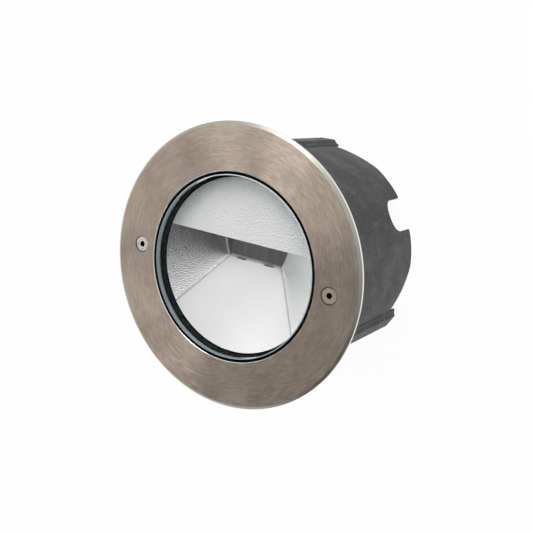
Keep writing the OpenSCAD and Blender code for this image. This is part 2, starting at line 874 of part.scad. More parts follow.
// Clamping screws of the terminals
module terminal_screws() {
    color("goldenrod")
        from_face()
            for (i = [0 : block_poles - 1])
                translate([(i - (block_poles - 1) / 2) * pole_pitch, block_y, gear_depth + block_h - pole_screw_h])
                    difference() {
                        cylinder(h = pole_screw_h, r = pole_screw_d / 2);
                        translate([-pole_screw_d, -pole_slot_w / 2, pole_screw_h / 2])
                            cube([2 * pole_screw_d, pole_slot_w, pole_screw_h]);
                    }
}

// Screws that hold the terminal block to the bulkhead
module block_screws() {
    color("silver")
        from_face()
            both_sides(block_screw_x)
                translate([0, block_y, gear_depth + block_h - block_step])
                    pan_screw(m3_d, m3_head_d, m3_head_h, m3_socket, block_h - block_step + bulkhead_grip);
}

// Screw of the earth terminal
module earth_screw() {
    color("gold")
        from_face()
            translate([earth_x, earth_y, earth_depth + lug_t])
                pan_screw(m4_d, m4_head_d, m4_head_h, m4_socket, lug_t + earth_post_h + bulkhead_grip);
}

// Ring lug with its crimped barrel
module earth_lug() {
    barrel_r = lead_r + slip + barrel_wall;
    color("silver")
        from_face()
            translate([earth_x, earth_y, earth_depth])
                difference() {
                    union() {
                        cylinder(h = lug_t, r = lug_r);
                        translate([0, -barrel_r, 0])
                            cube([lug_r + lug_neck, 2 * barrel_r, lug_t]);
                        translate([lug_r + lug_neck, 0, lug_t / 2])
                            rotate([0, 90, 0])
                                cylinder(h = barrel_l, r = barrel_r);
                    }
                    translate([0, 0, -cut])
                        cylinder(h = lug_t + 2 * cut, r = m4_d / 2 + slip);
                    translate([lug_r + lug_neck + barrel_wall, 0, lug_t / 2])
                        rotate([0, 90, 0])
                            cylinder(h = barrel_l + cut, r = lead_r + slip);
                }
}

// Earth lead from the terminal block to the barrel of the lug
module earth_lead() {
    block_face = block_y + block_w / 2;
    barrel_x = earth_x + lug_r + lug_neck + barrel_l;
    lug_depth = earth_depth + lug_t / 2;
    color("yellowgreen")
        from_face()
            lead([
                [-pole_pitch, block_face - block_w / 4, gear_depth + block_step],
                [-pole_pitch, leads_y, gear_depth + block_step],
                [barrel_x + lead_d, leads_y, lug_depth],
                [barrel_x - barrel_l / 2, leads_y, lug_depth]
            ], lead_r, [0, 0, 1]);
}

// Seal ring between the housing and the rear cover
module rear_seal() {
    color([0.1, 0.1, 0.1])
        from_face()
            translate([0, 0, rear_depth + seal_d / 2])
                rotate_extrude()
                    translate([seal_r, 0])
                        circle(r = seal_d / 2 - slip / 4, $fn = 32);
}

// Cast rear cover with a spigot, a seal groove and the gland hole
module rear_cover() {
    spigot_r = gear_in_r - drop_gap / 2;
    groove_r = seal_r - seal_d / 2 - slip;
    color([0.3, 0.31, 0.32])
        from_face()
            difference() {
                turned([
                    [0, rear_depth], [spigot_r - spigot_wall, rear_depth],
                    [spigot_r - spigot_wall, rear_depth - spigot_h], [spigot_r, rear_depth - spigot_h],
                    [spigot_r, rear_depth], [groove_r, rear_depth], [groove_r, rear_depth + seal_d],
                    [groove_r + seal_d + 2 * slip, rear_depth + seal_d],
                    [groove_r + seal_d + 2 * slip, rear_depth], [rear_r, rear_depth],
                    [rear_r, tail_depth - rear_edge], [rear_r - rear_edge, tail_depth], [0, tail_depth]
                ]);
                translate([0, gland_y, rear_depth - cut])
                    cylinder(h = rear_t + 2 * cut, r = gland_r + slip);
                for (i = [0 : rear_count - 1])
                    rotate([0, 0, 360 * i / rear_count])
                        translate([rear_screw_r, 0, rear_depth - cut])
                            cylinder(h = rear_t + 2 * cut, r = m4_d / 2 + 2 * slip);
            }
}

// Screws of the rear cover
module rear_screws() {
    color("silver")
        from_face()
            for (i = [0 : rear_count - 1])
                rotate([0, 0, 360 * i / rear_count])
                    translate([rear_screw_r, 0, tail_depth])
                        pan_screw(m4_d, m4_head_d, m4_head_h, m4_socket, rear_screw_l + rear_t);
}

// Flat seal under the gland
module gland_washer() {
    color([0.1, 0.1, 0.1])
        from_face()
            translate([0, gland_y, tail_depth])
                difference() {
                    cylinder(h = washer_t, r = gland_hex / 2);
                    translate([0, 0, -cut])
                        cylinder(h = washer_t + 2 * cut, r = gland_r + slip);
                }
}

// Gland body: thread through the cover, hexagon outside, neck for the cap nut
module gland_body() {
    thread_l = rear_t + washer_t + locknut_t + thread_end;
    body_l = thread_l + gland_hex_h + gland_neck_h;
    color([0.16, 0.16, 0.17])
        from_face()
            translate([0, gland_y, gland_depth])
                difference() {
                    union() {
                        translate([0, 0, -thread_l])
                            cylinder(h = body_l, r = gland_neck_r);
                        hex_bar(gland_hex, gland_hex_h);
                    }
                    translate([0, 0, -thread_l - cut])
                        cylinder(h = body_l + 2 * cut, r = gland_mouth_r);
                    translate([0, 0, gland_hex_h])
                        cylinder(h = gland_neck_h + cut, r = gland_seal_r);
                }
}

// Locknut on the inside of the rear cover
module gland_locknut() {
    color([0.16, 0.16, 0.17])
        from_face()
            translate([0, gland_y, rear_depth - locknut_t])
                difference() {
                    hex_bar(gland_hex, locknut_t);
                    translate([0, 0, -cut])
                        cylinder(h = locknut_t + 2 * cut, r = gland_r + slip / 2);
                }
}

// Rubber insert that grips the cable
module gland_seal() {
    color([0.1, 0.1, 0.1])
        from_face()
            translate([0, gland_y, gland_seat_depth])
                difference() {
                    cylinder(h = gland_seal_h, r = gland_seal_r - slip);
                    translate([0, 0, -cut])
                        cylinder(h = gland_seal_h + 2 * cut, r = cable_r);
                }
}

// Cap nut of the gland, domed towards the cable
module gland_nut() {
    hollow_h = gland_seal_h + slip - gland_nut_gap;
    nut_h = hollow_h + gland_wall;
    top_r = gland_hex / 2 - gland_wall;
    color([0.16, 0.16, 0.17])
        from_face()
            translate([0, gland_y, gland_seat_depth + gland_nut_gap])
                difference() {
                    union() {
                        hex_bar(gland_hex, nut_h - gland_dome_h);
                        translate([0, 0, nut_h - gland_dome_h])
                            cylinder(h = gland_dome_h, r1 = gland_hex / 2, r2 = top_r);
                    }
                    translate([0, 0, -cut])
                        cylinder(h = hollow_h + cut, r = gland_r + slip / 2);
                    translate([0, 0, -cut])
                        cylinder(h = nut_h + 2 * cut, r = gland_mouth_r);
                }
}

// Brass inserts moulded into the screw bosses
module sleeve_inserts() {
    color("goldenrod")
        from_face()
            both_sides(screw_x)
                translate([0, 0, insert_depth])
                    difference() {
                        cylinder(h = insert_l, r = insert_r);
                        translate([0, 0, -cut])
                            cylinder(h = insert_l + 2 * cut, r = screw_r);
                    }
}

// Outline of a cable notch: x across, y up from the rim
module notch_outline() {
    translate([-notch_w / 2, -cut])
        square([notch_w, notch_h - notch_r + cut]);
    translate([notch_r - notch_w / 2, -cut])
        square([notch_w - 2 * notch_r, notch_h + cut]);
    for (side = [-1, 1])
        translate([side * (notch_w / 2 - notch_r), notch_h - notch_r])
            circle(r = notch_r);
    difference() {
        translate([-notch_w / 2 - notch_lip, -cut])
            square([notch_w + 2 * notch_lip, notch_lip + cut]);
        for (side = [-1, 1])
            translate([side * (notch_w / 2 + notch_lip), notch_lip])
                circle(r = notch_lip);
    }
}

// Outer rib on the +X side: trapezoid across, sloped at its open end
module outer_rib() {
    rib_l = total_h - ring_t;
    low_r = sleeve_r - rib_sink;
    foot_r = sleeve_r + rib_foot_h;
    top_r = sleeve_r + rib_h;
    intersection() {
        linear_extrude(height = rib_l)
            polygon([
                [low_r, -rib_w / 2 - rib_foot_w], [sleeve_r, -rib_w / 2 - rib_foot_w],
                [foot_r, -rib_w / 2], [top_r, -rib_top_w / 2], [top_r, rib_top_w / 2],
                [foot_r, rib_w / 2], [sleeve_r, rib_w / 2 + rib_foot_w],
                [low_r, rib_w / 2 + rib_foot_w]
            ]);
        rotate([90, 0, 0])
            translate([0, 0, -rib_w])
                linear_extrude(height = 2 * rib_w)
                    polygon([
                        [low_r, 0], [sleeve_r, 0], [top_r, rib_end], [top_r, rib_l], [low_r, rib_l]
                    ]);
    }
}

// Moulded sleeve: tube, ribs, ledge for the housing, screw bosses and cable notches
module installation_sleeve() {
    tube_h = total_h - ring_t;
    ledge_z = total_h - flange_depth - ledge_t;
    // Off-centre cones trim the rim beside each rib and run out away from it
    relief_off = relief_rise / (1 - cos(relief_reach));
    relief_r = sleeve_r + relief_off * cos(relief_reach);
    relief_slope = relief_rise / relief_h;
    relief_top_r = relief_r + (relief_h + cut) * relief_slope;
    color([0.36, 0.37, 0.38])
        difference() {
            union() {
                difference() {
                    cylinder(h = tube_h, r = sleeve_r);
                    for (i = [0 : rib_count - 1])
                        rotate([0, 0, rib_turn + 360 * i / rib_count])
                            difference() {
                                translate([0, 0, -cut])
                                    cylinder(h = relief_h + cut, r = sleeve_r + cut);
                                translate([-relief_off, 0, -2 * cut])
                                    cylinder(h = relief_h + 3 * cut, r1 = relief_r - 2 * cut * relief_slope,
                                             r2 = relief_top_r);
                            }
                }
                for (i = [0 : rib_count - 1])
                    rotate([0, 0, rib_turn + 360 * i / rib_count])
                        outer_rib();
            }
            difference() {
                translate([0, 0, -cut])
                    cylinder(h = tube_h + 2 * cut, r = sleeve_in_r);
                difference() {
                    translate([0, 0, ledge_z])
                        cylinder(h = ledge_t, r = sleeve_r);
                    translate([0, 0, ledge_z - cut])
                        cylinder(h = ledge_t + 2 * cut, r = ledge_r);
                }
                translate([0, 0, tube_h - boss_l])
                    both_sides(screw_x)
                        cylinder(h = boss_l, r = boss_r);
                translate([0, -boss_r, tube_h - boss_l])
                    both_sides(screw_x + boss_r / 2)
                        translate([-boss_r / 2, 0, 0])
                            cube([boss_r, 2 * boss_r, boss_l]);
            }
            both_sides(screw_x)
                translate([0, 0, tube_h - boss_l - cut])
                    cylinder(h = boss_l + 2 * cut, r = screw_r + 2 * slip);
            both_sides(screw_x)
                translate([0, 0, total_h - insert_depth - insert_l - insert_sink])
                    cylinder(h = insert_depth + insert_l + insert_sink - ring_t + cut, r = insert_r + slip / 2);
            for (i = [0 : rib_count - 1])
                rotate([0, 0, notch_turn + 360 * i / rib_count])
                    translate([sleeve_in_r - rib_h, 0, 0])
                        rotate([90, 0, 90])
                            linear_extrude(height = 3 * rib_h)
                                notch_outline();
        }
}

cover_ring();
cover_screws();
glass_lens();
glass_gasket();
baffle_plate();
reflector_bowl();
heat_spreader();
spreader_screws();
led_board();
led_emitters();
led_board_screws();
led_leads();
lamp_housing();
driver_module();
driver_screws();
mains_leads();
terminal_block();
terminal_screws();
block_screws();
earth_screw();
earth_lug();
earth_lead();
rear_seal();
rear_cover();
rear_screws();
gland_washer();
gland_body();
gland_locknut();
gland_seal();
gland_nut();
sleeve_inserts();
installation_sleeve();
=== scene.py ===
# %% [markdown]
# # A recessed ground light, dressed for its photograph
#
# The construction of this light is finished before this script starts: every ring, screw, seal
# and casting is already in the packed frame, at its real size. We could model the light once more
# in Blender, but then the picture and the part would drift apart. So Blender adds only what the
# frame doesn't hold: the finish of each surface, the light, and the camera. We load the frame.

# %% Load the frame
import math

import bpy
from mathutils import Euler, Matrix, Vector


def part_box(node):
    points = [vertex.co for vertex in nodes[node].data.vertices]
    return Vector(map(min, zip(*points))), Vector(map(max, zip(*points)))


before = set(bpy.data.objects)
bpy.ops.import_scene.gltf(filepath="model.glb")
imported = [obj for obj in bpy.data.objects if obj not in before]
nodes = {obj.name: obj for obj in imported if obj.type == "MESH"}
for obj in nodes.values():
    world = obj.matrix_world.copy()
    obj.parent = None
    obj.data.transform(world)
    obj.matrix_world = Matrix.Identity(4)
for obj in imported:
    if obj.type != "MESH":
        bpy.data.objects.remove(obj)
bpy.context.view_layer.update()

# %% [markdown]
# ## Measures that the finishes follow
#
# Brushing runs round the axis of the ring, the ground edge of the glass starts just below its
# front, and dirt sits round the two cover screws. Each of these is a place in metres. Typed
# numbers would be the simplest, but they go stale when the model changes, so the ring's face, rim
# and opening are read from its node. Only the screws' place and the radius of their heads are
# typed, because no box shows them.

# %% Measures
MM = 0.001
face_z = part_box("cover_ring")[1].z
ring_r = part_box("cover_ring")[1].x
bore_r = min(math.hypot(point.co.x, point.co.y) for point in nodes["cover_ring"].data.vertices)
screw_x = 70 * MM
head_r = 5 * MM
print("face at", round(face_z, 4), "ring from", round(bore_r, 4), "to", round(ring_r, 4))

# %% [markdown]
# ## The camera
#
# The photograph looks at the face from its right and a little from above, with a lens of about 57
# mm on a full frame sensor, without shift. We could turn a camera by hand until the picture looks
# right, but then tilt, distance and lens hide each other's errors. This one was fitted to edges
# that can be measured in the photograph: both edges of the ring, the two screws and the outline
# of the sleeve. The light stands face up here, so the camera hangs over it and is rolled a
# little.

# %% Camera
camera_data = bpy.data.cameras.new("camera")
camera_data.sensor_width = 36
camera_data.lens = 56.73
camera_data.clip_end = 50
camera = bpy.data.objects.new("camera", camera_data)
bpy.context.scene.collection.objects.link(camera)
camera.location = (0.27237, 0.13079, 0.53241)
camera.rotation_euler = Euler([math.radians(a) for a in (-9.997, 31.717, 8.088)])
bpy.context.scene.camera = camera
print("camera", [round(v, 3) for v in camera.location], "lens", camera_data.lens)

# %% [markdown]
# ## Shader sums as Python
#
# Most finishes are sums: a streak is a noise times a strength plus a base. Such a sum could be
# drawn in the shader editor, or written node by node, but either way it is long and hard to read
# back. So one small class wraps a socket and teaches it the usual operators, also from the right,
# so that `1 - mask` works. Each operator adds one Math node, and a comparison gives a mask of 0
# or 1.

# %% Wire
class Wire:
    """An output socket that can be used in sums."""

    def __init__(self, finish, socket):
        self.finish = finish
        self.socket = socket

    def maths(self, operation, *terms):
        return self.finish.node("Math", {"operation": operation}, dict(enumerate(terms)))

    def __add__(self, other):
        return self.maths("ADD", self, other)

    def __radd__(self, other):
        return self.maths("ADD", other, self)

    def __sub__(self, other):
        return self.maths("SUBTRACT", self, other)

    def __rsub__(self, other):
        return self.maths("SUBTRACT", other, self)

    def __mul__(self, other):
        return self.maths("MULTIPLY", self, other)

    def __rmul__(self, other):
        return self.maths("MULTIPLY", other, self)

    def __truediv__(self, other):
        return self.maths("DIVIDE", self, other)

    def __rtruediv__(self, other):
        return self.maths("DIVIDE", other, self)

    def __pow__(self, other):
        return self.maths("POWER", self, other)

    def __rpow__(self, other):
        return self.maths("POWER", other, self)

    def __abs__(self):
        return self.maths("ABSOLUTE", self)

    def __gt__(self, other):
        return self.maths("GREATER_THAN", self, other)

    def __lt__(self, other):
        return self.maths("LESS_THAN", self, other)


print("a wire can stand in a sum, a product, a quotient, a power and a comparison")

# %% [markdown]
# ## One way to make a node
#
# A material is a tree of nodes, and so is the world. Each node could have its own lines that
# create it, set it and link it. Here one method does that for all of them: it takes the node's
# type, its settings, and the values or links of its sockets. The short methods after it name the
# steps that the finishes of this light share, such as a noise, a soft step or a bump. Colours go
# through a Mix node, because a Math node would turn them grey.

# %% Finish
class Finish:
    """A material, or the world, that is built from nodes."""

    def __init__(self, name, kind=None):
        self.made = (bpy.data.materials if kind is None else kind).new(name)
        self.made.use_nodes = True
        self.tree = self.made.node_tree
        self.tree.nodes.clear()

    def node(self, kind, settings=None, sockets=None, out=0):
        """Makes a node, first its settings and then its sockets, and gives one of its outputs."""
        made = self.tree.nodes.new("ShaderNode" + kind)
        for name, value in (settings or {}).items():
            setattr(made, name, value)
        for name, value in (sockets or {}).items():
            if isinstance(value, Wire):
                self.tree.links.new(value.socket, made.inputs[name])
            else:
                made.inputs[name].default_value = value
        return Wire(self, made.outputs[out]) if made.outputs else None

    def colour(self, low, high, factor):
        """The colour low where factor is 0 and high where it is 1."""
        sockets = {0: factor}
        for number, shade in ((6, low), (7, high)):  # the Mix node's sockets for colours
            sockets[number] = shade if isinstance(shade, Wire) else (*shade, 1)
        return self.node("Mix", {"data_type": "RGBA"}, sockets, out=2)

    def place(self):
        """The point on the piece, in metres from the middle of the sleeve's rim."""
        return self.node("TexCoord", out="Object")

    def axes(self, vector=None):
        """x, y and z of the place, or of another vector."""
        vector = self.place() if vector is None else vector
        return [self.node("SeparateXYZ", None, {0: vector}, out=axis) for axis in "XYZ"]

    def noise(self, vector, scale, detail=2.0, roughness=0.5):
        sockets = {"Vector": vector, "Scale": scale, "Detail": detail, "Roughness": roughness}
        return self.node("TexNoise", None, sockets, out="Fac")

    def between(self, value, low, high):
        """0 below low, 1 above high, and a soft step between."""
        settings = {"interpolation_type": "SMOOTHSTEP"}
        return self.node("MapRange", settings, {0: value, 1: low, 2: high})

    def steepness(self):
        """1 on walls and 0 on faces that lie level, whichever way they look."""
        return 1 - abs(self.axes(self.node("NewGeometry", out="Normal"))[2])

    def ray(self, kind):
        """1 for rays of this kind, such as Camera or Glossy."""
        return self.node("LightPath", out=f"Is {kind} Ray")

    def bump(self, height, distance):
        return self.node("Bump", None, {"Height": height, "Distance": distance, "Strength": 1.0})

    def principled(self, **sockets):
        """The everyday shader. Its sockets are named as in Blender, with _ for a space."""
        named = {name.replace("_", " "): value for name, value in sockets.items()}
        if not isinstance(named["Base Color"], Wire):
            named["Base Color"] = (*named["Base Color"], 1)
        return self.node("BsdfPrincipled", None, named)

    def blend(self, first, second, factor):
        """The first shader where factor is 0 and the second where it is 1."""
        return self.node("MixShader", None, {0: factor, 1: first, 2: second})

    def surface(self, shader, output="OutputMaterial"):
        """Ends the tree with this shader, and gives what was made."""
        self.node(output, None, {"Surface": shader})
        return self.made


print("steps that a finish can use:", ", ".join(name for name in vars(Finish) if name[0] != "_"))

# %% [markdown]
# ## Floor
#
# The light is shown on plain white, with hardly a shadow. Strong lamps could bleach a floor to
# white, but they would bleach the steel and the reflector too. So the floor is a white surface
# that takes the light's soft shadow, and for rays from the camera, from metal and through glass
# most of it glows at strength 1, which is white. Diffuse rays don't see that glow, so it doesn't
# flood the sleeve.

# %% Floor
FLOOR_HALF = 4.0
GLOW_SHARE = 0.97
floor_mesh = bpy.data.meshes.new("floor")
corners = [(x * FLOOR_HALF, y * FLOOR_HALF, 0) for x, y in ((-1, -1), (1, -1), (1, 1), (-1, 1))]
floor_mesh.from_pydata(corners, [], [(0, 1, 2, 3)])
floor = bpy.data.objects.new("floor", floor_mesh)
bpy.context.scene.collection.objects.link(floor)

paper = Finish("white_paper")
glow = paper.node("Emission", None, {"Color": (1, 1, 1, 1), "Strength": 1.0})
matt = paper.node("BsdfDiffuse", None, {"Color": (0.9, 0.9, 0.9, 1)})
looked_at = paper.ray("Camera") + paper.ray("Glossy") + paper.ray("Transmission")
floor_mesh.materials.append(paper.surface(paper.blend(matt, glow, looked_at * GLOW_SHARE)))
print("floor", FLOOR_HALF * 2, "m wide, glow share", GLOW_SHARE)

# %% [markdown]
# ## The studio round the light
#
# Steel and glass look like what is round them. A light like this one is best shown in a white
# tent, with a black cloth hung where the flat glass would mirror the tent: that is why we can
# look through the pane, and why the right of the ring is darker than the left. Tent and cloth
# could be planes, but planes would stand in the way of the lamps. So both are directions in the
# world: white all round, black over a range of x and y with soft borders, and beside it a veil
# that thins out towards the baffle's side, which shades the upper right of the ring without a
# hard line.

# %% World
HORIZON = (0.18, 0.30)
cloth_x, cloth_y = (-0.62, 0.68), (-0.98, -0.04)
studio = Finish("studio", bpy.data.worlds)
x, y, z = studio.axes(studio.node("TexCoord", out="Generated"))
above = studio.between(z, *HORIZON)
cloth = above
for along, (low, high), soft in ((x, cloth_x, 0.03), (y, cloth_y, 0.04)):
    cloth = cloth * studio.between(along, low - soft, low + soft)
    cloth = cloth * (1 - studio.between(along, high - soft, high + soft))
veil = above * studio.between(x, -0.05, 0.15) * (1 - studio.between(x, 0.65, 0.71))
veil = veil * studio.between(y, -0.05, 0.0) * (1 - studio.between(y, -0.15, 0.38))
tent = studio.colour((1.0, 1.0, 1.0), (0.04, 0.04, 0.043), cloth + (1 - cloth) * veil)
tent_light = studio.node("Background", None, {"Color": tent})
bpy.context.scene.world = studio.surface(tent_light, "OutputWorld")
print("black cloth over", cloth_x, cloth_y)

# %% [markdown]
# ## Lamps
#
# One large lamp would be simpler, but brushed steel needs narrow lamps to show which way it was
# brushed, and the reflector lies deep behind glass. So there are six soft boxes, each for one
# job. Two on the left lift that side of the ring. Two narrow strips draw the fans of light above
# and below the opening, because scratches round an axis spread a lamp's image along the radius.
# The box above lights the baffle and the slope through the glass, and the low one on the right
# keeps the sleeve readable. A box is given by its direction and its radiance, so that its image
# in the steel stays as bright when its size is changed.

# %% Soft boxes
LAMP_DISTANCE = 1.3


def soft_box(name, towards, size, radiance):
    """A rectangular lamp in that direction from the face, turned towards it."""
    data = bpy.data.lights.new(name, "AREA")
    data.shape = "RECTANGLE"
    data.size, data.size_y = size
    data.energy = radiance * math.pi * size[0] * size[1]
    lamp = bpy.data.objects.new(name, data)
    away = Vector(towards).normalized()
    lamp.location = Vector((0, 0, face_z)) + away * LAMP_DISTANCE
    lamp.rotation_euler = away.to_track_quat("Z", "Y").to_euler()
    lamp.visible_camera = False
    bpy.context.scene.collection.objects.link(lamp)
    print(name, [round(v, 2) for v in lamp.location])


soft_box("left_strip", (-0.945, -0.335, 0.30), (0.5, 1.0), 0.78)
soft_box("upper_left", (-0.80, 0.0, 0.59), (0.45, 0.55), 0.7)
soft_box("fan_strip_left", (-0.59, 0.12, 0.80), (0.08, 0.24), 6.2)
soft_box("fan_strip_right", (-0.405, 0.072, 0.912), (0.06, 0.24), 1.0)
soft_box("fill_above", (-0.12, 0.77, 0.63), (0.6, 0.7), 3.2)
soft_box("low_right", (0.70, -0.70, 0.12), (0.6, 0.5), 2.8)

# %% [markdown]
# ## Putting a finish on a piece
#
# The frame gives every piece a plain grey material. It could be edited in place, but pieces of
# one finish should share one material, so that a change of it reaches them all. So each finish is
# made once, and then takes the place of the grey on all the pieces that wear it.

# %% Dress
def dress(material, *names):
    """Gives CAD nodes this material in place of the plain one."""
    for name in names:
        mesh = nodes[name].data
        mesh.materials.clear()
        mesh.materials.append(material)
    print(material.name, "on", ", ".join(names))


print(len(nodes), "pieces to dress")

# %% [markdown]
# ## Round scratches
#
# The ring was brushed while it turned, so its scratches are circles. A picture of scratches could
# be laid on it, but it would have to be unwrapped, and would show a seam and a limit when we come
# close. Noise has neither: read at the radius times a large number, and at the direction times a
# small one, it stretches into circles that close. Coarser numbers give the scuffs that run round
# the sleeve.

# %% Round scratches
def round_scratches(finish, fine, along):
    """Noise that is stretched round the axis: fine per metre across, along per radian."""
    x, y, z = finish.axes()
    radius = (x ** 2 + y ** 2) ** 0.5
    sockets = {0: (radius + z) * fine, 1: x / radius * along, 2: y / radius * along}
    return finish.noise(finish.node("CombineXYZ", None, sockets), 1.0, 3.0, 0.6)


ring_scratches, ring_streaks = (2300, 12), (500, 3)
print("a scratch about every", round(1 / ring_scratches[0] / MM, 2), "mm")

# %% [markdown]
# ## Brushed stainless ring
#
# Brushed steel draws every lamp out across its scratches. Real grooves, as geometry, would be
# finer than a pixel. So the noise drives the colour a little, the roughness more, and a very fine
# bump, and the long highlights come from anisotropy: with no tangent linked it runs round the
# object's axis, and a quarter turn makes the highlight spread along the radius. A faint mottling
# stands for hands that held the ring. The walls, the bevel at the rim and the two countersinks
# were cut, not brushed: masks give them tones of their own. The countersinks, with a thin ring
# round each head, are painted near black as the shade in the gap round the screws. A Mix Shader
# takes the anisotropy off bevel and sinks.

# %% Ring
SLANTED, UPRIGHT = 0.1, 0.6


def screw_places(finish):
    """How far a point lies from the axis of the nearest cover screw, and its x and y."""
    x, y, _ = finish.axes()
    return ((abs(x) - screw_x) ** 2 + y ** 2) ** 0.5, x, y


steel = Finish("brushed_ring")
scratch = round_scratches(steel, *ring_scratches)
mottle = steel.noise(steel.place(), 55, 3.0, 0.6)
streaks = scratch * 0.55 + round_scratches(steel, *ring_streaks) * 0.15 + mottle * 0.3
tone = steel.colour((0.48, 0.395, 0.315), (0.67, 0.562, 0.468), steel.between(streaks, 0.40, 0.60))

from_screw, x, y = screw_places(steel)
radius = (x ** 2 + y ** 2) ** 0.5
past_edge, rim_band = 0.45 * MM, 2 * MM
# Painted shade: the countersinks and a thin ring round each head are near black, as the gap round
# the screws.
sink_shade = from_screw < head_r + past_edge
wall = ((steel.steepness() > UPRIGHT) * (1 - sink_shade) + (radius < bore_r + past_edge)) > 0.5
bevel = (steel.steepness() > SLANTED) * (radius > ring_r - rim_band) * (1 - wall)
for cut_tone, mask in (
    ((0.84, 0.83, 0.81), wall),
    ((0.40, 0.385, 0.34), bevel),
    ((0.035, 0.030, 0.026), sink_shade),
):
    tone = steel.colour(tone, cut_tone, mask)

skin = dict(
    Base_Color=tone,
    Metallic=1.0,
    Roughness=steel.between(scratch, 0.2, 0.8) * 0.10 + 0.27 - wall * 0.1,
    Normal=steel.bump(scratch * (1 - wall), 0.0015 * MM),
)
brushed = steel.principled(Anisotropic=1.0, Anisotropic_Rotation=0.25, **skin)
cut = steel.principled(**skin)
dress(steel.surface(steel.blend(brushed, cut, (sink_shade + bevel) > 0.5)), "cover_ring")

# %% [markdown]
# ## Screw heads
#
# The two countersunk heads were turned, which leaves fine rings on them. Their hexagon sockets
# are painted near black, as the shade inside the recess. The left head is bright, the right one
# is browned. They could have a material each, but both heads are one node, so the side that a
# point lies on picks the tone.
# Noise that is read only at the distance from the screw's axis makes the rings.

# %% Screw heads
head = Finish("turned_screws")
from_screw, x, _ = screw_places(head)
socket_r = 1.9 * MM
grain = head.noise(head.place(), 900, 3.0, 0.6)
turned = head.noise(head.node("CombineXYZ", None, {0: from_screw * 1500}), 1.0)
rings = head.between(turned, 0.4, 0.6)
pale = head.colour((0.90, 0.74, 0.60), (0.98, 0.96, 0.92), x < 0)
stain = (1 - rings) * 0.55 + head.between(grain, 0.4, 0.65) * 0.35
bright = head.principled(
    Base_Color=head.colour(pale, (0.22, 0.17, 0.14), stain),
    Metallic=0.7,
    Roughness=grain * 0.15 + 0.3,
    Normal=head.bump(rings, 0.01 * MM),
)
# Painted shade: the hexagon socket and its lead-in are a near-black disc.
socket_shade = head.node("BsdfDiffuse", None, {"Color": (0.012, 0.009, 0.007, 1)})
dress(head.surface(head.blend(bright, socket_shade, from_screw < socket_r)), "cover_screws")

# %% [markdown]
# ## Glass
#
# The pane is 8 mm thick and lies flush with the ring. A thin see-through sheet would be quicker,
# but only real refraction lifts the reflector towards us and shows the edge of the pane as a blue
# grey band inside the rim. Light for the reflector goes straight through instead, as a
# transparent shader, or the inside would stay dark and noisy. The edge and its bevel were ground,
# not polished, so there the surface scatters light. The front bevel is painted paler than the
# edge: a painted highlight along the rim.

# %% Glass
glass = Finish("toughened_glass")
steep = glass.steepness()
near_front = glass.axes()[2] > face_z - 1 * MM
front_bevel = (steep > SLANTED) * (steep < UPRIGHT) * near_front
edge = (steep > UPRIGHT) + front_bevel
pane = glass.principled(
    Base_Color=(0.996, 1.0, 0.998),
    Roughness=0.0,
    IOR=1.5,
    Transmission_Weight=1.0,
    Specular_IOR_Level=0.12,
)
band = glass.colour((0.22, 0.29, 0.30), (0.32, 0.40, 0.41), glass.noise(glass.place(), 300))
# The paler tone on the front bevel is a painted highlight along the rim; the ground edge keeps its
# blue grey.
ground = glass.principled(
    Base_Color=glass.colour(band, (0.62, 0.71, 0.73), front_bevel),
    Roughness=0.6,
)
clear = glass.node("BsdfTransparent", None, {"Color": (1, 1, 1, 1)})
from_metal = glass.ray("Glossy") * (1 - glass.ray("Transmission"))
straight = (glass.ray("Shadow") + glass.ray("Diffuse") + from_metal) * (1 - edge)
dress(glass.surface(glass.blend(glass.blend(pane, ground, edge), clear, straight)), "glass_lens")

# %% [markdown]
# ## Rubber
#
# The gasket round the glass, the rear seal and the gland's two rubbers are moulded silicone:
# nearly black, with a soft shine and a faint bloom of dust that lies in patches. A plain black
# would do from afar. A slow noise under the colour and the roughness keeps the wide collar from
# looking printed.

# %% Rubber
rubber = Finish("black_rubber")
bloom = rubber.noise(rubber.place(), 240, 4.0, 0.6)
dusty = rubber.between(bloom, 0.4, 0.7)
dress(rubber.surface(rubber.principled(
    Base_Color=rubber.colour((0.003, 0.003, 0.0035), (0.009, 0.009, 0.0095), dusty),
    Roughness=bloom * 0.2 + 0.45,
    Specular_IOR_Level=0.0,
    Normal=rubber.bump(rubber.noise(rubber.place(), 1500), 0.01 * MM),
)), "glass_gasket", "rear_seal", "gland_seal", "gland_washer")

# %% [markdown]
# ## Hammered metal
#
# The baffle and the reflector are satin aluminium with a fine hammered grain, a little under a
# millimetre from dent to dent. Modelled dents would take millions of faces and wouldn't change
# the outline. So they are a bump: cells with soft borders, a finer unevenness over them and a
# slow wobble below. The same unevenness mottles the colour, which keeps the grain readable where
# the light is even. The baffle is the plainer one and comes first: it is nearly white, and its
# dents are deeper.

# %% Baffle
def dents(metal, width):
    """The height of dents of this width, and the fine unevenness in them."""
    place = metal.place()
    cell_sockets = {"Vector": place, "Scale": 1 / width, "Smoothness": 0.6}
    cells = metal.node("TexVoronoi", {"feature": "SMOOTH_F1"}, cell_sockets)
    uneven = metal.noise(place, 1.3 / width, 2.0, 0.55)
    return cells * 1.1 + uneven * 0.5 + metal.noise(place, 0.4 / width) * 0.2, uneven


def satin(metal, dark, light, uneven):
    """Two near tones in slow clouds, and in the dents."""
    cloud = metal.between(metal.noise(metal.place(), 30), 0.35, 0.65)
    return metal.colour(dark, light, cloud * 0.4 + metal.between(uneven, 0.38, 0.62) * 0.6)


baffle = Finish("hammered_baffle")
height, uneven = dents(baffle, 0.9 * MM)
dress(baffle.surface(baffle.principled(
    Base_Color=satin(baffle, (0.95, 0.95, 0.95), (1.0, 1.0, 1.0), uneven),
    Metallic=0.12,
    Roughness=0.30,
    Normal=baffle.bump(height, 0.43 * MM),
)), "baffle_plate")
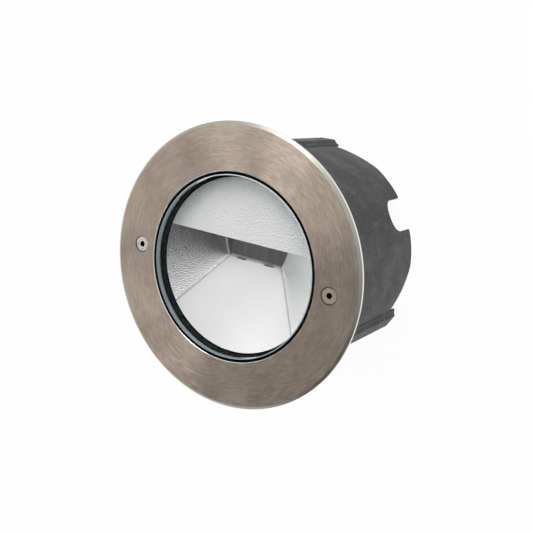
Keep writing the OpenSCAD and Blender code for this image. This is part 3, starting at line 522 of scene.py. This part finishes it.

# %% [markdown]
# ## Pressed reflector
#
# The press leaves marks that the baffle doesn't have. The slope is ironed nearly flat, while the
# two cheeks beside it keep their dents, shine more, and calm down towards the baffle. The folds
# between them are in the frame's mesh, and the shade that gathers in a fold is painted as a thin
# grey line, which is far too narrow to be worth faces. So we measure how far a point lies past the
# nearer fold, for both sides at once through `abs(x)`, and make the masks of the painted line and
# the cheeks from that distance. The left cheek is painted a little darker, as painted shade on
# that side. The two slots below the lamp window get a painted dark inside, as the shade in them.

# %% Reflector
fold_start, fold_across = (19.8 * MM, -0.9 * MM), (0.807, 0.590)
slot_x, slot_y, slot_z = (7.2 * MM, 14.4 * MM), (-1.3 * MM, -0.6 * MM), 77.2 * MM

bowl = Finish("hammered_reflector")
x, y, z = bowl.axes()
aside = abs(x)
past_fold = (aside - fold_start[0]) * fold_across[0] + (y - fold_start[1]) * fold_across[1]
cheek = bowl.between(past_fold, -1 * MM, 2 * MM)
calm = bowl.between(y, -16 * MM, 4 * MM)
# Painted shade: a thin grey line along each fold.
fold_shade = 1 - bowl.between(abs(past_fold - 0.3 * MM), 0.1 * MM, 0.7 * MM)
fold_shade = fold_shade * (y < fold_start[1])
# Painted shade: the insides of the two slots are near black.
slot_shade = (aside > slot_x[0]) * (aside < slot_x[1]) * (y > slot_y[0]) * (y < slot_y[1]) * (z < slot_z)

height, uneven = dents(bowl, 0.78 * MM)
tone = satin(bowl, (0.80, 0.80, 0.80), (0.85, 0.85, 0.85), uneven)
# Painted shade: the left cheek alone is a little darker, as the shaded side.
tone = bowl.colour(tone, (0.30, 0.30, 0.30), cheek * (x < 0) * 0.06 + fold_shade * 0.65)
dress(bowl.surface(bowl.principled(
    Base_Color=bowl.colour(tone, (0.02, 0.02, 0.022), slot_shade),
    Metallic=0.52 + cheek * 0.28,
    Roughness=0.27 - cheek * 0.07,
    Normal=bowl.bump(height * (0.32 + cheek * (0.68 - calm * 0.3)), 0.19 * MM),
)), "reflector_bowl")

# %% [markdown]
# ## Spreader plate
#
# The plate behind the lamp window is rolled aluminium, and its rolling marks stand upright as
# broad bands. A brushed finish like the ring's would be too fine for them, so the noise is read
# across the window only. The plate's two tabs end in the slots below the window: their ends are
# sheared bright, with a painted dark line of shadow under them. Both are on the plate's node, so a
# mask finds the tabs.

# %% Spreader plate
plate = Finish("spreader_plate")
x, y, z = plate.axes()
aside = abs(x)
bands = plate.between(plate.noise(plate.node("CombineXYZ", None, {0: x * 260}), 1.0), 0.35, 0.65)
rolled = plate.colour((0.205, 0.205, 0.21), (0.26, 0.26, 0.265), bands)
tab = (aside > slot_x[0]) * (aside < slot_x[1]) * (y > -1.2 * MM) * (y < 0.1 * MM)
tab = tab * (z < slot_z + 0.1 * MM)
# The tab's sheared end is bright, and the dark strip below it is a painted shadow.
sheared_end_and_shadow = plate.colour((0.02, 0.02, 0.02), (0.50, 0.50, 0.50), y > -0.45 * MM)
dress(plate.surface(plate.principled(
    Base_Color=plate.colour(rolled, sheared_end_and_shadow, tab),
    Metallic=0.85 - tab * 0.5,
    Roughness=0.38,
    Normal=plate.bump(plate.noise(plate.place(), 600), 0.004 * MM),
)), "heat_spreader")

# %% [markdown]
# ## Sleeve
#
# The sleeve is dark grey polypropylene that was rubbed in its box. One noise would look like
# cloud on it. Four of them, each at the size of what it stands for, look like use: broad smudges,
# the grain of the mould, a few pale scuffs that run round it, and specks of dust. They add up to
# how far the dark plastic is worn to its pale tone.

# %% Sleeve
plastic = Finish("sleeve_plastic")
spot = plastic.place()
smudge = plastic.between(plastic.noise(spot, 45, 5.0, 0.75), 0.40, 0.75)
grain = plastic.between(plastic.noise(spot, 700, 3.0, 0.7), 0.40, 0.70)
scuff = plastic.between(round_scratches(plastic, 60, 26), 0.60, 0.74)
speck = plastic.between(plastic.noise(spot, 520, 1.0), 0.68, 0.76)
worn = smudge * 0.30 + grain * 0.30 + scuff * 0.25 + speck * 0.5
relief = plastic.noise(spot, 2200) + plastic.noise(spot, 90) * 1.5
dress(plastic.surface(plastic.principled(
    Base_Color=plastic.colour((0.0135, 0.0138, 0.0144), (0.110, 0.111, 0.113), worn),
    Roughness=0.62 - smudge * 0.12,
    Normal=plastic.bump(relief, 0.03 * MM),
)), "installation_sleeve")

# %% [markdown]
# ## Plain finishes
#
# What is left are powder coat, plated steel, brass, nylon, solder mask and cable insulation. Most
# of them lie behind the reflector, and are seen when the light is taken apart. A recipe each
# would be wasted on them. They share one: two near shades that are mixed by a noise at the scale
# of the grain, a roughness that follows it, and a bump. The numbers of each are still its own.

# %% Powder coat, plating, plastics and insulation
def plain(name, light, dark, grain, depth, roughness, metallic=0.0, coat=0.0):
    """A finish with this width and depth of grain."""
    finish = Finish(name)
    fine = finish.noise(finish.place(), 1 / grain, 3.0, 0.55)
    broad = finish.noise(finish.place(), 40)
    mixed = finish.between(fine * 0.5 + broad * 0.5, 0.35, 0.65)
    return finish.surface(finish.principled(
        Base_Color=finish.colour(dark, light, mixed),
        Metallic=metallic,
        Roughness=fine * 0.12 + roughness,
        Coat_Weight=coat,
        Normal=finish.bump(fine, depth),
    ))


dress(plain("powder_coat", (0.085, 0.088, 0.092), (0.06, 0.062, 0.065), 0.5 * MM, 0.03 * MM, 0.5),
      "lamp_housing", "rear_cover")
dress(plain("zinc_plating", (0.68, 0.68, 0.66), (0.55, 0.55, 0.54), 0.6 * MM, 0.005 * MM, 0.32,
            metallic=1.0),
      "spreader_screws", "led_board_screws", "driver_screws", "block_screws", "rear_screws")
dress(plain("brass", (0.72, 0.54, 0.24), (0.58, 0.42, 0.17), 0.8 * MM, 0.006 * MM, 0.3,
            metallic=1.0),
      "terminal_screws", "earth_screw", "sleeve_inserts")
dress(plain("tinned_copper", (0.74, 0.72, 0.68), (0.62, 0.60, 0.56), 0.5 * MM, 0.006 * MM, 0.36,
            metallic=1.0),
      "earth_lug")
dress(plain("gland_nylon", (0.030, 0.030, 0.032), (0.020, 0.020, 0.022), 0.4 * MM, 0.015 * MM,
            0.42),
      "gland_body", "gland_locknut", "gland_nut")
dress(plain("solder_mask", (0.88, 0.88, 0.86), (0.82, 0.82, 0.80), 0.7 * MM, 0.006 * MM, 0.35,
            coat=0.3),
      "led_board")
dress(plain("phosphor", (0.90, 0.76, 0.22), (0.84, 0.68, 0.16), 0.5 * MM, 0.006 * MM, 0.3,
            coat=0.6),
      "led_emitters")
dress(plain("driver_case", (0.80, 0.80, 0.78), (0.74, 0.74, 0.72), 0.5 * MM, 0.02 * MM, 0.5),
      "driver_module")
dress(plain("terminal_plastic", (0.78, 0.76, 0.68), (0.72, 0.70, 0.62), 0.6 * MM, 0.015 * MM,
            0.45),
      "terminal_block")
dress(plain("red_insulation", (0.62, 0.05, 0.04), (0.54, 0.035, 0.03), 0.8 * MM, 0.01 * MM, 0.35,
            coat=0.2),
      "led_leads")
dress(plain("brown_insulation", (0.24, 0.10, 0.045), (0.19, 0.075, 0.03), 0.8 * MM, 0.01 * MM,
            0.35, coat=0.2),
      "mains_leads")

# %% [markdown]
# ## Earth lead
#
# Earth insulation is green with yellow stripes along the lead. Stripes on a tube are usually
# unwrapped along its length, and this piece carries no such map. But the lead runs mostly level,
# so a wave over the height alone reads as stripes along it.

# %% Earth lead
STRIPE = 1.2 * MM
earth = Finish("earth_insulation")
wave = earth.node("Math", {"operation": "SINE"}, {0: earth.axes()[2] * (2 * math.pi / STRIPE)})
yellow = earth.between(wave, -0.1, 0.1)
dress(earth.surface(earth.principled(
    Base_Color=earth.colour((0.05, 0.30, 0.06), (0.80, 0.68, 0.05), yellow),
    Roughness=0.35,
)), "earth_lead")

# %% [markdown] ## View A film-like view would flatter the steel, but it
# bends every tone. The Standard view shows a surface about in the colour that is written here.

# %% View
bpy.context.scene.view_settings.view_transform = "Standard"
